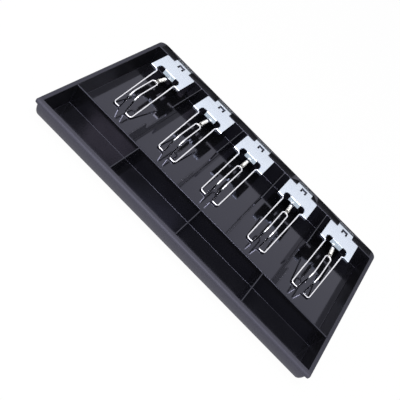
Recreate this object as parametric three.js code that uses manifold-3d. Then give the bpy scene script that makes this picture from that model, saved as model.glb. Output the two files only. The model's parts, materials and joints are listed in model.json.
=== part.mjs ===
// A cash drawer insert: a moulded tray with bill and coin compartments, and one sprung wire clip over each
// bill compartment. Millimetres, +Z up, the front edge towards -Y, the origin under the middle of the tray.
import * as THREE from 'three';
import { mergeVertices } from 'three/addons/utils/BufferGeometryUtils.js';
import Module from 'manifold-3d';

const wasm = await Module();
wasm.setup();

// Driving dimensions of the tray
const trayWidth = 404;
const trayDepth = 247.7;
const trayHeight = 30.4;
const floorThickness = 2.2;
const wallThickness = 2.2;
const sideFlange = 3.3;
const rimThickness = 2.2;
const sideEdgeHeight = 4.2;
const rimEdgeRadius = 1.4;
const rimBackCornerRadius = 10;
const rimFrontCornerRadius = 2.5;
const backRimWidth = 16.8;
const backSkirtHeight = 8;
const backEdgeRadius = 2;
const frontLipWidth = 7.4;
const lipTopRadius = 3.5;
const bodyEdgeRadius = 3;
const endLean = 2;

// Compartments
const billCount = 5;
const coinCount = 4;
const dividerThickness = 1.8;
const crossDividerThickness = 2.2;
const dividerDrop = 1;
const coinDepth = 55;
const pocketCornerRadius = 3;
const pocketFloorRadius = 1.4;
const coinScoopRadius = 16;
const coinHeelEase = 1.2;

// The dip that lowers the middle of each bill divider
const dipLength = 58;
const dipDepth = 16;
const dipFromBackWall = 72.5;
const dipCornerRadius = 4;
const dipFrontSlope = 11;

// Sheet metal bracket whose tab hooks through a slot in the back rim
const sheet = 1;
const clearance = 0.3;
const plateWidth = 49.4;
const plateReach = 29;
const shoulderSetback = 2.5;
const earLength = 12.9;
const notchInnerHalf = 8.6;
const notchOuterHalf = 16.4;
const plateCornerRadius = 1.5;
const earLipDrop = 3.4;
const cheekLand = 1.1;
const cheekLength = 10.5;
const tabWidth = 25.6;
const tabSetback = 4.6;
const tabBendRadius = 3;
const hookReach = 5;
const hookGap = 0.7;
const slotEase = 0.9;
const barbSlotWidth = 7.9;
const barbSlotLength = 6.3;
const barbWidth = 5.6;
const barbDrop = 2.4;
const flapLean = 2.5;
const flapDrop = 5.7;
const flapBendRadius = 2;
const lugWidth = 5;
const lugLand = 1.2;
const lugHoleRadius = 1.3;
const lugHoleDrop = 6.8;

// How far each bracket was pushed along the rim from the middle of its compartment
const clipShifts = [1.3, -0.8, -5.6, -4.3, -6.9];

// Wire clip, bent from one length of wire, with its pivot under the bracket's ears
const wireDiameter = 2.2;
const pivotFromEarFront = 4.4;
const pivotDrop = 4.1;
const pivotInset = 1.5;
const pivotStub = 5.5;
const clipReach = 76.5;
const clipFrontHalf = 14.3;
const clipInnerHalf = 4.6;
const hairpinHalf = 4.1;
const kneeBack = 7.05;
const kneeHeight = 26.6;
const hairpinEndBack = 50.5;
const hairpinEndHeight = 28.5;
const pivotBend = 2.2;
const frontBend = 3.2;
const innerBend = 2.4;
const kneeBend = 12;

// Extension spring from the bracket's lug to the wire's hairpin
const springWire = 0.8;
const springOuterDiameter = 5.2;
const springCurls = 14;
const springRearNeck = 4.2;
const springFrontNeck = 3.2;
const springEyePlay = 0.9;

// Facet counts
const wireSides = 6;
const springSides = 5;
const springStepsPerCurl = 8;
const hookSteps = 7;
const bendSteps = 3;

// How far a cutter runs past what it cuts, and how far joined parts of one sheet run into each other
const overshoot = 5;
const overlap = 2;

// Worked-out places of the tray
const floorTop = floorThickness;
const rimTop = trayHeight;
const frontY = -trayDepth / 2;
const rimBackY = frontY + trayDepth;
const backWallInnerY = rimBackY - backRimWidth;
const backWallOuterY = backWallInnerY + wallThickness;
const bodyHalfWidth = trayWidth / 2 - sideFlange;
const insideHalfWidth = bodyHalfWidth - wallThickness - endLean;
const coinFrontY = frontY + frontLipWidth;
const crossFrontY = coinFrontY + coinDepth;
const crossBackY = crossFrontY + crossDividerThickness;
const dividerTop = rimTop - dividerDrop;
const frontCurveRadius = trayHeight - lipTopRadius;
const coinHeelRadius = pocketFloorRadius + coinHeelEase;
const billPitch = (2 * insideHalfWidth + dividerThickness) / billCount;
const coinPitch = (2 * insideHalfWidth + dividerThickness) / coinCount;

// Worked-out places of a bracket, a clip and a spring
const plateBottom = rimTop + clearance;
const plateTop = plateBottom + sheet;
const plateFrontY = backWallInnerY - plateReach;
const shoulderY = backWallInnerY - shoulderSetback;
const earFrontY = plateFrontY - earLength;
const tabLegY = rimBackY - tabSetback;
const pivotY = earFrontY + pivotFromEarFront;
const pivotZ = plateTop - pivotDrop;
const pivotHalfSpan = notchOuterHalf - pivotInset;
const pivotHoleRadius = wireDiameter / 2 + clearance;
const cheekBottom = pivotZ - pivotHoleRadius - cheekLand;
const lugY = plateFrontY - flapLean;
const lugHoleZ = plateTop - lugHoleDrop;
const lugBottom = lugHoleZ - lugHoleRadius - lugLand;
const springAnchor = new THREE.Vector2(lugY, lugHoleZ - lugHoleRadius - lugLand / 2);
const clipFrontY = pivotY - clipReach;
const clipFrontZ = floorTop + clearance + wireDiameter / 2;
const hairpinEndZ = floorTop + hairpinEndHeight + wireDiameter / 2;
const hairpinEnd = new THREE.Vector2(clipFrontY + hairpinEndBack, hairpinEndZ);
const clipX = (i) => (i - (billCount - 1) / 2) * billPitch + (clipShifts[i] ?? 0);

const moulded = () => new THREE.MeshStandardMaterial({ color: 0x1c1c1f, roughness: 0.28, metalness: 0 });
const plated = () => new THREE.MeshStandardMaterial({ color: 0xdfe5ee, roughness: 0.3, metalness: 1 });
const bright = () => new THREE.MeshStandardMaterial({ color: 0xd6d6d8, roughness: 0.15, metalness: 1 });
const springSteel = () => new THREE.MeshStandardMaterial({ color: 0xc9c4bb, roughness: 0.25, metalness: 1 });

// Booleans

function solidOf(geometry) {
  const bare = geometry.clone();
  bare.deleteAttribute('normal');
  bare.deleteAttribute('uv');
  const welded = mergeVertices(bare, 1e-4);
  const vertProperties = new Float32Array(welded.attributes.position.array);
  const triVerts = new Uint32Array(welded.index.array);
  return new wasm.Manifold(new wasm.Mesh({ numProp: 3, vertProperties, triVerts }));
}

function geometryOf(solid) {
  const mesh = solid.getMesh();
  const geometry = new THREE.BufferGeometry();
  geometry.setAttribute('position', new THREE.BufferAttribute(new Float32Array(mesh.vertProperties), 3));
  geometry.setIndex(new THREE.BufferAttribute(new Uint32Array(mesh.triVerts), 1));
  geometry.computeVertexNormals();
  return geometry;
}

const joined = (solids) => solids.reduce((whole, next) => whole.add(next));
const cutFrom = (solid, cutters) => cutters.reduce((rest, next) => rest.subtract(next), solid);

// Shapes and extrusions

/** A rectangle in a plane whose corners have their own radii, from the low-left corner counter-clockwise. */
function roundedRect(x0, y0, x1, y1, radii) {
  const [r0, r1, r2, r3] = Array.isArray(radii) ? radii : [radii, radii, radii, radii];
  const shape = new THREE.Shape();
  shape.moveTo(x0 + r0, y0);
  shape.lineTo(x1 - r1, y0);
  if (r1) shape.absarc(x1 - r1, y0 + r1, r1, -Math.PI / 2, 0);
  shape.lineTo(x1, y1 - r2);
  if (r2) shape.absarc(x1 - r2, y1 - r2, r2, 0, Math.PI / 2);
  shape.lineTo(x0 + r3, y1);
  if (r3) shape.absarc(x0 + r3, y1 - r3, r3, Math.PI / 2, Math.PI);
  shape.lineTo(x0, y0 + r0);
  if (r0) shape.absarc(x0 + r0, y0 + r0, r0, Math.PI, 1.5 * Math.PI);
  return shape;
}

/** Extrusion settings whose end edges are rounded inwards, so that the outline stays the shape's own. */
function extrusion(length, edgeRadius, edgeSegments, curveSegments) {
  return {
    depth: length - 2 * edgeRadius,
    bevelEnabled: edgeRadius > 0,
    bevelThickness: edgeRadius,
    bevelSize: edgeRadius,
    bevelOffset: -edgeRadius,
    bevelSegments: edgeSegments,
    curveSegments,
  };
}

/** A shape drawn in X and Y, extruded from z0 to z1. */
function extrudeUp(shape, z0, z1, edgeRadius = 0, edgeSegments = 2, curveSegments = 4) {
  const settings = extrusion(z1 - z0, edgeRadius, edgeSegments, curveSegments);
  const geometry = new THREE.ExtrudeGeometry(shape, settings);
  return geometry.translate(0, 0, z0 + edgeRadius);
}

/** A shape drawn in Y and Z, extruded along X from x0 to x1. */
function extrudeAcross(shape, x0, x1, edgeRadius = 0, edgeSegments = 2, curveSegments = 4) {
  const settings = extrusion(x1 - x0, edgeRadius, edgeSegments, curveSegments);
  const geometry = new THREE.ExtrudeGeometry(shape, settings);
  const turn = new THREE.Matrix4().set(0, 0, 1, x0 + edgeRadius, 1, 0, 0, 0, 0, 1, 0, 0, 0, 0, 0, 1);
  return geometry.applyMatrix4(turn);
}

/** A shape drawn in X and Z, extruded along Y from y0 to y1. */
function extrudeBack(shape, y0, y1, curveSegments = 4) {
  const geometry = new THREE.ExtrudeGeometry(shape, extrusion(y1 - y0, 0, 1, curveSegments));
  const turn = new THREE.Matrix4().set(1, 0, 0, 0, 0, 0, -1, y1, 0, 1, 0, 0, 0, 0, 0, 1);
  return geometry.applyMatrix4(turn);
}

/** A round bar along X. */
function barAcross(y, z, radius, x0, x1, segments = 5) {
  return extrudeAcross(new THREE.Shape().absarc(y, z, radius, 0, 2 * Math.PI), x0, x1, 0, 1, segments);
}

// Bent wire and bent sheet

/** The points of a polyline whose inner corners are bent to the given radii. */
function bentPoints(corners, radii, steps) {
  const points = [corners[0]];
  for (let i = 1; i < corners.length - 1; i++) {
    const back = corners[i - 1].clone().sub(corners[i]).normalize();
    const ahead = corners[i + 1].clone().sub(corners[i]).normalize();
    const half = Math.acos(THREE.MathUtils.clamp(back.dot(ahead), -1, 1)) / 2;
    const radius = radii[i - 1];
    const middle = back.clone().add(ahead).normalize();
    const centre = corners[i].clone().addScaledVector(middle, radius / Math.sin(half));
    const start = corners[i].clone().addScaledVector(back, radius / Math.tan(half)).sub(centre);
    const side = start.clone().addScaledVector(middle, -start.dot(middle)).normalize();
    const sweep = Math.PI / 2 - half;
    for (let k = 0; k <= steps; k++) {
      const angle = sweep * (1 - (2 * k) / steps);
      const spoke = middle.clone().multiplyScalar(-Math.cos(angle)).addScaledVector(side, Math.sin(angle));
      points.push(centre.clone().addScaledVector(spoke, radius));
    }
  }
  points.push(corners[corners.length - 1]);
  return points.filter((point, i) => i === 0 || point.distanceTo(points[i - 1]) > 1e-3);
}

/** A curve through given stations, one step each: a straight run takes one step, and a bend takes several. */
class StationPath extends THREE.Curve {
  constructor(stations) {
    super();
    this.stations = stations;
  }

  getPoint(t) {
    const last = this.stations.length - 1;
    const i = Math.min(Math.floor(t * last + 1e-9), last - 1);
    return this.stations[i].clone().lerp(this.stations[i + 1], t * last - i);
  }

  getPointAt(u) {
    return this.getPoint(u);
  }

  getTangentAt(u) {
    const last = this.stations.length - 1;
    const i = Math.round(u * last);
    const before = this.stations[i].clone().sub(this.stations[Math.max(i - 1, 0)]).normalize();
    const after = this.stations[Math.min(i + 1, last)].clone().sub(this.stations[i]).normalize();
    return before.add(after).normalize();
  }
}

/** A closed tube of round section through the stations. */
function tube(stations, diameter, sides) {
  const section = new THREE.Shape();
  for (let k = 0; k < sides; k++) {
    const angle = (2 * Math.PI * k) / sides;
    const point = [(diameter / 2) * Math.cos(angle), (diameter / 2) * Math.sin(angle)];
    if (k) section.lineTo(...point);
    else section.moveTo(...point);
  }
  const extrudePath = new StationPath(stations);
  return new THREE.ExtrudeGeometry(section, { steps: stations.length - 1, extrudePath });
}

/** The side view of a bent strip of sheet, whose middle line runs through the given corners in Y and Z. */
function stripShape(corners, radii, steps = bendSteps) {
  const line = bentPoints(corners, radii, steps);
  const left = [];
  const right = [];
  line.forEach((point, i) => {
    const before = point.clone().sub(line[Math.max(i - 1, 0)]).normalize();
    const after = line[Math.min(i + 1, line.length - 1)].clone().sub(point).normalize();
    const along = before.clone().add(after).normalize();
    const cosine = i && i < line.length - 1 ? along.dot(after) : 1;
    const normal = new THREE.Vector2(-along.y, along.x).multiplyScalar(sheet / 2 / cosine);
    left.push(point.clone().add(normal));
    right.push(point.clone().sub(normal));
  });
  return new THREE.Shape([...right, ...left.reverse()]);
}

// The tray

/** Body of the tray: the side view with its rounded-under front, crossed with the drafted front view. */
function trayBlock() {
  const side = new THREE.Shape();
  const curveY = frontY + frontCurveRadius;
  side.moveTo(curveY, 0);
  side.lineTo(backWallOuterY - bodyEdgeRadius, 0);
  side.absarc(backWallOuterY - bodyEdgeRadius, bodyEdgeRadius, bodyEdgeRadius, -Math.PI / 2, 0);
  side.lineTo(backWallOuterY, rimTop);
  side.lineTo(frontY + lipTopRadius, rimTop);
  side.absarc(frontY + lipTopRadius, rimTop - lipTopRadius, lipTopRadius, Math.PI / 2, Math.PI);
  side.lineTo(frontY, frontCurveRadius);
  side.absarc(curveY, frontCurveRadius, frontCurveRadius, Math.PI, 1.5 * Math.PI);
  const foot = bodyHalfWidth - endLean;
  const front = new THREE.Shape();
  front.moveTo(bodyEdgeRadius - foot, 0);
  front.lineTo(foot - bodyEdgeRadius, 0);
  front.absarc(foot - bodyEdgeRadius, bodyEdgeRadius, bodyEdgeRadius, -Math.PI / 2, 0);
  front.lineTo(bodyHalfWidth, rimTop);
  front.lineTo(-bodyHalfWidth, rimTop);
  front.lineTo(-foot, bodyEdgeRadius);
  front.absarc(bodyEdgeRadius - foot, bodyEdgeRadius, bodyEdgeRadius, Math.PI, 1.5 * Math.PI);
  const reach = bodyHalfWidth + overshoot;
  const across = solidOf(extrudeAcross(side, -reach, reach, 0, 1, 8));
  return across.intersect(solidOf(extrudeBack(front, frontY - overshoot, backWallOuterY + overshoot)));
}

/** The flange round the rim: a thick edge along the sides, a skirt along the back and slots for the tabs. */
function trayRim() {
  const half = trayWidth / 2;
  const past = half + overshoot;
  const corners = [rimFrontCornerRadius, rimFrontCornerRadius, rimBackCornerRadius, rimBackCornerRadius];
  const outline = roundedRect(-half, frontY, half, rimBackY, corners);
  const skirtBottom = rimTop - backSkirtHeight;
  const cap = solidOf(extrudeUp(outline, skirtBottom, rimTop, rimEdgeRadius));
  const innerCorner = rimBackCornerRadius - wallThickness;
  const inside = half - wallThickness;
  const inner = roundedRect(-inside, backWallInnerY, inside, rimBackY - wallThickness,
    [0, 0, innerCorner, innerCorner]);
  const hollow = solidOf(extrudeUp(inner, skirtBottom - overshoot, rimTop - rimThickness));
  const below = roundedRect(-past, frontY - overshoot, past, backWallInnerY, 0);
  const sideClear = solidOf(extrudeUp(below, skirtBottom - overshoot, rimTop - sideEdgeHeight));
  const corner = new THREE.Shape();
  corner.moveTo(rimBackY - backEdgeRadius, rimTop);
  corner.absarc(rimBackY - backEdgeRadius, rimTop - backEdgeRadius, backEdgeRadius, Math.PI / 2, 0, true);
  corner.lineTo(rimBackY + overshoot, rimTop - backEdgeRadius);
  corner.lineTo(rimBackY + overshoot, rimTop + overshoot);
  corner.lineTo(rimBackY - backEdgeRadius, rimTop + overshoot);
  const roundOver = solidOf(extrudeAcross(corner, -past, past));
  const tabSlots = [];
  for (let i = 0; i < billCount; i++) {
    const reach = tabWidth / 2 + clearance;
    const slot = roundedRect(clipX(i) - reach, tabLegY - tabBendRadius + slotEase - clearance, clipX(i) + reach,
      tabLegY + slotEase, 0);
    tabSlots.push(solidOf(extrudeUp(slot, skirtBottom, rimTop + overshoot)));
  }
  return cutFrom(cap, [hollow, sideClear, roundOver, ...tabSlots]);
}

/** The space between the two end walls, which lean outwards from the floor to the rim. */
function betweenEndWalls() {
  const low = floorTop - overshoot;
  const high = rimTop + overshoot;
  const halfAt = (z) => insideHalfWidth + (endLean * (z - floorTop)) / (rimTop - floorTop);
  const corners = [[-halfAt(low), low], [halfAt(low), low], [halfAt(high), high], [-halfAt(high), high]];
  const outline = new THREE.Shape(corners.map(([x, z]) => new THREE.Vector2(x, z)));
  return solidOf(extrudeBack(outline, frontY, rimBackY));
}

/** Left and right side of a compartment in a row. At the row's ends they pass the leaning walls. */
function compartmentSides(i, count, pitch) {
  const [first, last] = [i === 0, i === count - 1];
  const x0 = -insideHalfWidth + i * pitch;
  const x1 = x0 + pitch - dividerThickness;
  return { x0: first ? x0 - 2 * endLean : x0, x1: last ? x1 + 2 * endLean : x1, atEnd: first || last };
}

/** One bill compartment, open at the top, between two dividers. */
function billPocket(i) {
  const { x0, x1, atEnd } = compartmentSides(i, billCount, billPitch);
  const outline = roundedRect(x0, crossBackY, x1, backWallInnerY, pocketCornerRadius);
  const space = solidOf(extrudeUp(outline, floorTop, rimTop + overshoot, pocketFloorRadius, 2, 2));
  return atEnd ? space.intersect(betweenEndWalls()) : space;
}

/** One coin compartment, whose front curves up from the floor so that coins can be scooped out. */
function coinPocket(i) {
  const { x0, x1, atEnd } = compartmentSides(i, coinCount, coinPitch);
  const scoopY = coinFrontY + coinScoopRadius;
  const scoopZ = floorTop + coinScoopRadius;
  const side = new THREE.Shape();
  side.moveTo(scoopY, floorTop);
  side.lineTo(crossFrontY - coinHeelRadius, floorTop);
  side.absarc(crossFrontY - coinHeelRadius, floorTop + coinHeelRadius, coinHeelRadius, -Math.PI / 2, 0);
  side.lineTo(crossFrontY, rimTop + overshoot);
  side.lineTo(coinFrontY, rimTop + overshoot);
  side.lineTo(coinFrontY, scoopZ);
  side.absarc(scoopY, scoopZ, coinScoopRadius, Math.PI, 1.5 * Math.PI);
  const space = solidOf(extrudeAcross(side, x0, x1, pocketFloorRadius, 2, 4));
  return atEnd ? space.intersect(betweenEndWalls()) : space;
}

/** The space above the dividers, which stand a little lower than the rim. */
function aboveDividers() {
  const half = insideHalfWidth + 2 * endLean;
  const outline = roundedRect(-half, coinFrontY, half, backWallInnerY, pocketCornerRadius);
  return solidOf(extrudeUp(outline, dividerTop, rimTop + overshoot, 0, 1, 2)).intersect(betweenEndWalls());
}

/** The dip through all the bill dividers: a steep back end, round corners and a sloped front end. */
function dividerDip() {
  const backY = backWallInnerY - dipFromBackWall;
  const frontTopY = backY - dipLength;
  const bottom = dividerTop - dipDepth;
  const over = rimTop + overshoot;
  const slopeTop = frontTopY - (dipFrontSlope * (over - dividerTop)) / dipDepth;
  const corners = [
    new THREE.Vector2(slopeTop, over),
    new THREE.Vector2(frontTopY + dipFrontSlope, bottom),
    new THREE.Vector2(backY, bottom),
    new THREE.Vector2(backY, over),
  ];
  const outline = bentPoints(corners, [dipCornerRadius, dipCornerRadius], bendSteps);
  const reach = insideHalfWidth - pocketCornerRadius;
  return solidOf(extrudeAcross(new THREE.Shape(outline), -reach, reach));
}

function tray() {
  const pockets = [];
  for (let i = 0; i < billCount; i++) pockets.push(billPocket(i));
  for (let i = 0; i < coinCount; i++) pockets.push(coinPocket(i));
  return geometryOf(cutFrom(joined([trayBlock(), trayRim()]), [...pockets, aboveDividers(), dividerDip()]));
}

// The bracket, in the frame of its own middle plane

/** Flat part of the bracket: the plate, its two ears and the slot round the lock barb. */
function bracketPlate() {
  const half = plateWidth / 2;
  const body = roundedRect(-half, plateFrontY, half, shoulderY, [0, 0, plateCornerRadius, plateCornerRadius]);
  const parts = [solidOf(extrudeUp(body, plateBottom, plateTop, 0, 1, 2))];
  for (const side of [-1, 1]) {
    const inner = side * notchOuterHalf;
    const [x0, x1] = [Math.min(inner, side * half), Math.max(inner, side * half)];
    const ear = roundedRect(x0, earFrontY, x1, plateFrontY + plateCornerRadius, 0);
    const lip = roundedRect(x0, earFrontY, x1, earFrontY + sheet, 0);
    const [c0, c1] = [Math.min(inner, inner + side * sheet), Math.max(inner, inner + side * sheet)];
    const cheek = roundedRect(earFrontY, cheekBottom, earFrontY + cheekLength, plateTop,
      [plateCornerRadius, plateCornerRadius, 0, 0]);
    parts.push(solidOf(extrudeUp(ear, plateBottom, plateTop)));
    parts.push(solidOf(extrudeUp(lip, plateTop - earLipDrop, plateTop)));
    parts.push(solidOf(extrudeAcross(cheek, c0, c1, 0, 1, 2)));
  }
  return joined(parts);
}

/** The tab that runs back over the rim, down through its slot and forwards under the rim. */
function bracketTab() {
  const middle = plateTop - sheet / 2;
  const under = rimTop - rimThickness - hookGap - sheet / 2;
  const startY = shoulderY - overlap;
  const corners = [[startY, middle], [tabLegY, middle], [tabLegY, under], [tabLegY - hookReach, under]];
  const line = corners.map(([y, z]) => new THREE.Vector2(y, z));
  const outline = stripShape(line, [tabBendRadius, sheet], 4);
  return solidOf(extrudeAcross(outline, -tabWidth / 2, tabWidth / 2));
}

/** The flap folded down from the plate's front edge, and the lug below it that carries the spring. */
function bracketFlap() {
  const middle = plateTop - sheet / 2;
  const foot = plateTop - flapDrop;
  const corners = [[plateFrontY + overlap, middle], [plateFrontY, middle], [lugY, foot]];
  const line = corners.map(([y, z]) => new THREE.Vector2(y, z));
  const flap = solidOf(extrudeAcross(stripShape(line, [flapBendRadius]), -notchInnerHalf, notchInnerHalf));
  const lug = roundedRect(-lugWidth / 2, lugBottom, lugWidth / 2, foot + flapBendRadius, 0);
  const lugSolid = solidOf(extrudeBack(lug, lugY - sheet / 2, lugY + sheet / 2));
  const hole = new THREE.Shape().absarc(0, lugHoleZ, lugHoleRadius, 0, 2 * Math.PI);
  const reach = flapLean + sheet;
  return flap.add(lugSolid).subtract(solidOf(extrudeBack(hole, lugY - reach, lugY + reach, 5)));
}

/** The barb lanced out of the tab, whose end stops against the inside of the back wall. */
function bracketBarb() {
  const middle = plateTop - sheet / 2;
  const tipY = backWallInnerY - clearance - sheet / 2;
  const rootY = tipY - barbSlotLength;
  const line = [[rootY - overlap, middle], [rootY + sheet, middle], [tipY, middle - barbDrop]];
  const outline = stripShape(line.map(([y, z]) => new THREE.Vector2(y, z)), [sheet]);
  const slot = roundedRect(-barbSlotWidth / 2, rootY, barbSlotWidth / 2, tipY + 2 * sheet, 0);
  return {
    slot: solidOf(extrudeUp(slot, plateBottom - overshoot, plateTop + overshoot)),
    barb: solidOf(extrudeAcross(outline, -barbWidth / 2, barbWidth / 2)),
  };
}

function bracket() {
  const { slot, barb } = bracketBarb();
  const metal = joined([bracketPlate(), bracketTab(), bracketFlap()]).subtract(slot).add(barb);
  const reach = plateWidth / 2 - sheet;
  return geometryOf(metal.subtract(solidOf(barAcross(pivotY, pivotZ, pivotHoleRadius, -reach, reach))));
}

// The wire clip, in the same frame

function wireClip() {
  const half = [
    [pivotHalfSpan + pivotStub, pivotY, pivotZ],
    [pivotHalfSpan, pivotY, pivotZ],
    [clipFrontHalf, clipFrontY, clipFrontZ],
    [clipInnerHalf, clipFrontY, clipFrontZ],
    [hairpinHalf, clipFrontY + kneeBack, floorTop + kneeHeight],
    [hairpinHalf, hairpinEnd.x, hairpinEnd.y],
  ];
  const left = half.map(([x, y, z]) => new THREE.Vector3(-x, y, z));
  const right = half.map(([x, y, z]) => new THREE.Vector3(x, y, z)).reverse();
  const leftRadii = [pivotBend, frontBend, innerBend, kneeBend, hairpinHalf];
  const radii = [...leftRadii, ...leftRadii.slice().reverse()];
  return tube(bentPoints([...left, ...right], radii, bendSteps), wireDiameter, wireSides);
}

// The spring, in the same frame

/** Stations of the spring's wire: a hook below the lug's land, the coil, and an eye round the hairpin. */
function springStations() {
  const anchor = new THREE.Vector3(0, springAnchor.x, springAnchor.y);
  const pull = new THREE.Vector3(0, hairpinEnd.x, hairpinEnd.y).sub(anchor);
  const length = pull.length();
  const along = pull.normalize();
  const down = new THREE.Vector3(1, 0, 0).cross(along).normalize();
  const across = new THREE.Vector3(1, 0, 0);
  const at = (s, x, u) => {
    const point = anchor.clone().addScaledVector(along, s);
    return point.addScaledVector(across, x).addScaledVector(down, u);
  };
  const coilRadius = (springOuterDiameter - springWire) / 2;
  const rearHook = Math.hypot(lugLand / 2, sheet / 2) + clearance + springWire / 2;
  const frontHook = wireDiameter / 2 + clearance + springWire / 2;
  const coilStart = rearHook + springRearNeck;
  const coilEnd = length - springEyePlay - frontHook - springFrontNeck;
  const stations = [];
  const hook = (centre, radius, play, from, to) => {
    for (let k = 0; k <= hookSteps; k++) {
      const angle = from + ((to - from) * k) / hookSteps;
      const s = centre + play * Math.sign(Math.cos(angle)) + radius * Math.cos(angle);
      stations.push(at(s, 0, radius * Math.sin(angle)));
    }
  };
  stations.push(at(springWire, 0, -rearHook));
  hook(0, rearHook, 0, -Math.PI / 2, -1.75 * Math.PI);
  const steps = springCurls * springStepsPerCurl;
  for (let k = 0; k <= steps; k++) {
    const angle = (2 * Math.PI * springCurls * k) / steps + Math.PI / 2;
    const s = coilStart + ((coilEnd - coilStart) * k) / steps;
    stations.push(at(s, coilRadius * Math.cos(angle), coilRadius * Math.sin(angle)));
  }
  hook(length, frontHook, springEyePlay, 0.75 * Math.PI, -Math.PI / 2);
  stations.push(at(length - springEyePlay - springWire, 0, -frontHook));
  return stations;
}

/** Least distance between the surfaces of two lengths of the wire that aren't next to each other. */
function leastSelfGap(stations, diameter, skip) {
  let least = Infinity;
  for (let i = 0; i < stations.length; i++) {
    for (let j = i + skip; j < stations.length; j++) {
      least = Math.min(least, stations[i].distanceTo(stations[j]) - diameter);
    }
  }
  return least;
}

// The assembly

const insert = new THREE.Group();
insert.name = 'cash_drawer_insert';

function add(parent, name, geometry, material) {
  const mesh = new THREE.Mesh(geometry, material);
  mesh.name = name;
  parent.add(mesh);
}

add(insert, 'tray', tray(), moulded());

const bracketGeometry = bracket();
const clipGeometry = wireClip();
const stations = springStations();
const selfGap = leastSelfGap(stations, springWire, springStepsPerCurl / 2);
console.log(`least gap of a spring to itself: ${selfGap.toFixed(2)} mm`);
for (let i = 0; i < billCount; i++) {
  const unit = new THREE.Group();
  unit.position.x = clipX(i);
  add(unit, `bracket_${i + 1}`, bracketGeometry, plated());
  add(unit, `wire_clip_${i + 1}`, clipGeometry, bright());
  add(unit, `spring_${i + 1}`, tube(stations, springWire, springSides), springSteel());
  insert.add(unit);
}

export default insert;
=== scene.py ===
"""A cash drawer insert: a moulded black tray with sprung wire clips over its bill compartments."""
import json
import math

import bmesh
import bpy
from mathutils import Matrix, Vector


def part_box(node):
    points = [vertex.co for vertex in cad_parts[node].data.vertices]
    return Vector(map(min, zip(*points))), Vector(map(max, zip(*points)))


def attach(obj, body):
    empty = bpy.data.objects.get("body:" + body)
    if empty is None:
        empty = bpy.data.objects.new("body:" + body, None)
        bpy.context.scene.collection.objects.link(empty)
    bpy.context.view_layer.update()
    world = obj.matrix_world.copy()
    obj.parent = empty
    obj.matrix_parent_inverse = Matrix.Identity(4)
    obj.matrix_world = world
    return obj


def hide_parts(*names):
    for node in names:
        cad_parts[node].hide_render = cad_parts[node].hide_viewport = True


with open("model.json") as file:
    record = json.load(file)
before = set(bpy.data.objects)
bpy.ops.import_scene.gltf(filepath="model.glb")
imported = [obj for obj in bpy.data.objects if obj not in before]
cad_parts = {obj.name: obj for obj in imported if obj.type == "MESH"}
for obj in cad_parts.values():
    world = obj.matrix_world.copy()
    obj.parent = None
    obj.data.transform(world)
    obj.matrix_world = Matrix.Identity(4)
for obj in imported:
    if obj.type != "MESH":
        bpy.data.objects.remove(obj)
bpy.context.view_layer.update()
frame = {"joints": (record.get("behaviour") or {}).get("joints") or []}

MM = 0.001

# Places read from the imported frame, in millimetres
tray_low, tray_high = (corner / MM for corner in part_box("tray"))
joints = {joint["name"]: Vector(joint["pos_m"]) / MM for joint in frame["joints"]}
BILLS = sum(name.startswith("clip_") for name in joints)
RIM_HALF = tray_high.x
FRONT_Y = tray_low.y
BACK_Y = tray_high.y
RIM_Z = tray_high.z
CLIP_X = [joints[f"clip_{n + 1}_lift"].x for n in range(BILLS)]
PIVOT_Y = joints["clip_1_lift"].y
PIVOT_Z = joints["clip_1_lift"].z
ANCHOR_Y = joints["spring_1_swing"].y
ANCHOR_Z = joints["spring_1_swing"].z

# Walls, floor and base of the tray, in millimetres like all sizes of the pieces
WALL = 2.2
FLOOR_Z = 2.2
END_LEAN = 2.0
BASE_ROUND = 3.0

# Rim of the tray: wide at the back, narrow at the sides, and a rounded lip at the front
SIDE_FLANGE = 3.3
BACK_RIM = 16.8
BACK_FALL = 0.5
BACK_ROUND = 1.6
FRONT_LIP = 7.4
LIP_ROUND = 3.5
LIP_STEP = 0.2
RIM_ROUND = 1.6
RIM_THICKNESS = 2.2
RIM_INNER_BAND = 1.3
RIM_BACK_CORNER = 10.0
RIM_FRONT_CORNER = 3.0
SIDE_EDGE_HEIGHT = 4.2
SKIRT_HEIGHT = 8.0
SKIRT_THICKNESS = 1.76
SKIRT_ROOT = 2.42

# Compartments and their dividers, with the rounds of their floors, corners and top edges
COINS = 4
DIVIDER = 1.8
CROSS = 2.2
DIVIDER_DROP = 1.0
COIN_DEPTH = 55.0
SCOOP = 16.0
HEEL = 0.5
CORNER = 0.5
EDGE_ROUND = 0.7

# The dip in the top of each bill divider
DIP_LENGTH = 58.0
DIP_DEPTH = 16.0
DIP_FROM_BACK = 72.5
DIP_FRONT_SLOPE = 11.0
DIP_BACK_SLOPE = 1.4
DIP_ROUNDS = (3.0, 4.0, 4.0, 1.6)

# Worked-out tray places
BODY_HALF = RIM_HALF - SIDE_FLANGE
INSIDE_TOP = BODY_HALF - WALL
INSIDE_HALF = INSIDE_TOP - END_LEAN
BACK_INNER = BACK_Y - BACK_RIM
BACK_OUTER = BACK_INNER + WALL
COIN_FRONT = FRONT_Y + FRONT_LIP
CROSS_FRONT = COIN_FRONT + COIN_DEPTH
CROSS_BACK = CROSS_FRONT + CROSS
DIVIDER_Z = RIM_Z - DIVIDER_DROP
FRONT_CURVE = RIM_Z - LIP_ROUND
UNDER_Z = RIM_Z - RIM_THICKNESS
SIDE_Z = RIM_Z - SIDE_EDGE_HEIGHT
SKIRT_Z = RIM_Z - SKIRT_HEIGHT

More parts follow.
